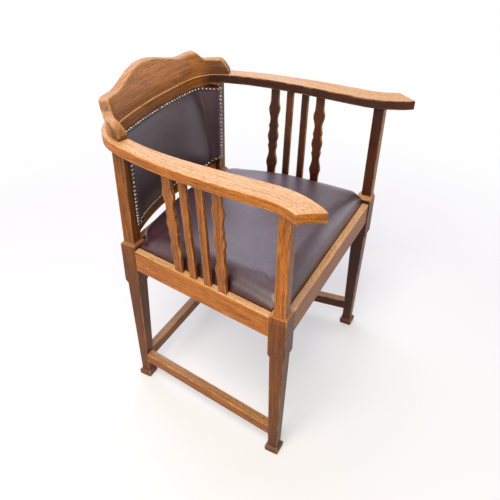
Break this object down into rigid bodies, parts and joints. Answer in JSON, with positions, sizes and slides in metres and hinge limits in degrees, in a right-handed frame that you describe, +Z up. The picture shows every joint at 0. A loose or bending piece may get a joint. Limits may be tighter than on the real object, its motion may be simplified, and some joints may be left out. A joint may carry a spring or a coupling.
{
  "type": "armchair",
  "caption": "Oak tub armchair: flat horseshoe bow on square legs and shaped slats, rolled crest, nailed leather back, drop-in leather seat.",
  "frame": {"origin": "on the floor under the middle of the chair's outline", "axes": "+Z up, +X to the sitter's left, the sitter faces -Y"},
  "size_m": [0.6042, 0.5836, 0.7974],
  "materials": {
    "oak": "waxed satin",
    "beech": "bare, planed",
    "back_leather": "semi-gloss hide",
    "seat_leather": "semi-gloss hide",
    "nails": "aged",
    "steel": "dull",
    "padding": "felted",
    "webbing": "woven jute",
    "dust_cloth": "plain weave"
  },
  "bodies": {
    "frame": {"leg_front_left": "oak", "leg_front_right": "oak", "leg_rear_left": "oak", "leg_rear_right": "oak", "seat_rail_front": "oak", "seat_rail_rear": "oak", "seat_rail_left": "oak", "seat_rail_right": "oak", "stretcher_left": "oak", "stretcher_right": "oak", "stretcher_rear": "oak", "arm_left": "oak", "arm_right": "oak", "bow_back": "oak", "bow_dowels": "oak", "crest_rail": "oak", "crest_dowels": "oak", "slat_rear_left": "oak", "slat_plain_rear_left": "oak", "slat_plain_front_left": "oak", "slat_front_left": "oak", "slat_rear_right": "oak", "slat_plain_rear_right": "oak", "slat_plain_front_right": "oak", "slat_front_right": "oak", "lower_back_rail": "oak", "upper_back_rail": "oak", "back_board": "beech", "back_padding": "padding", "back_leather": "back_leather", "back_cover": "back_leather", "back_nails": "nails", "corner_block_front_left": "oak", "corner_block_front_right": "oak", "corner_block_rear_left": "oak", "corner_block_rear_right": "oak", "corner_block_screws": "steel"},
    "seat": {"seat_member_front": "beech", "seat_member_rear": "beech", "seat_member_left": "beech", "seat_member_right": "beech", "seat_webbing": "webbing", "seat_padding": "padding", "seat_leather": "seat_leather", "seat_dust_cloth": "dust_cloth", "seat_tacks": "steel"}
  },
  "joints": [
    {"name": "seat_lift", "type": "slide", "parent": "frame", "child": "seat", "axis": [0, 0, 1], "range_m": [0, 0.12]}
  ]
}
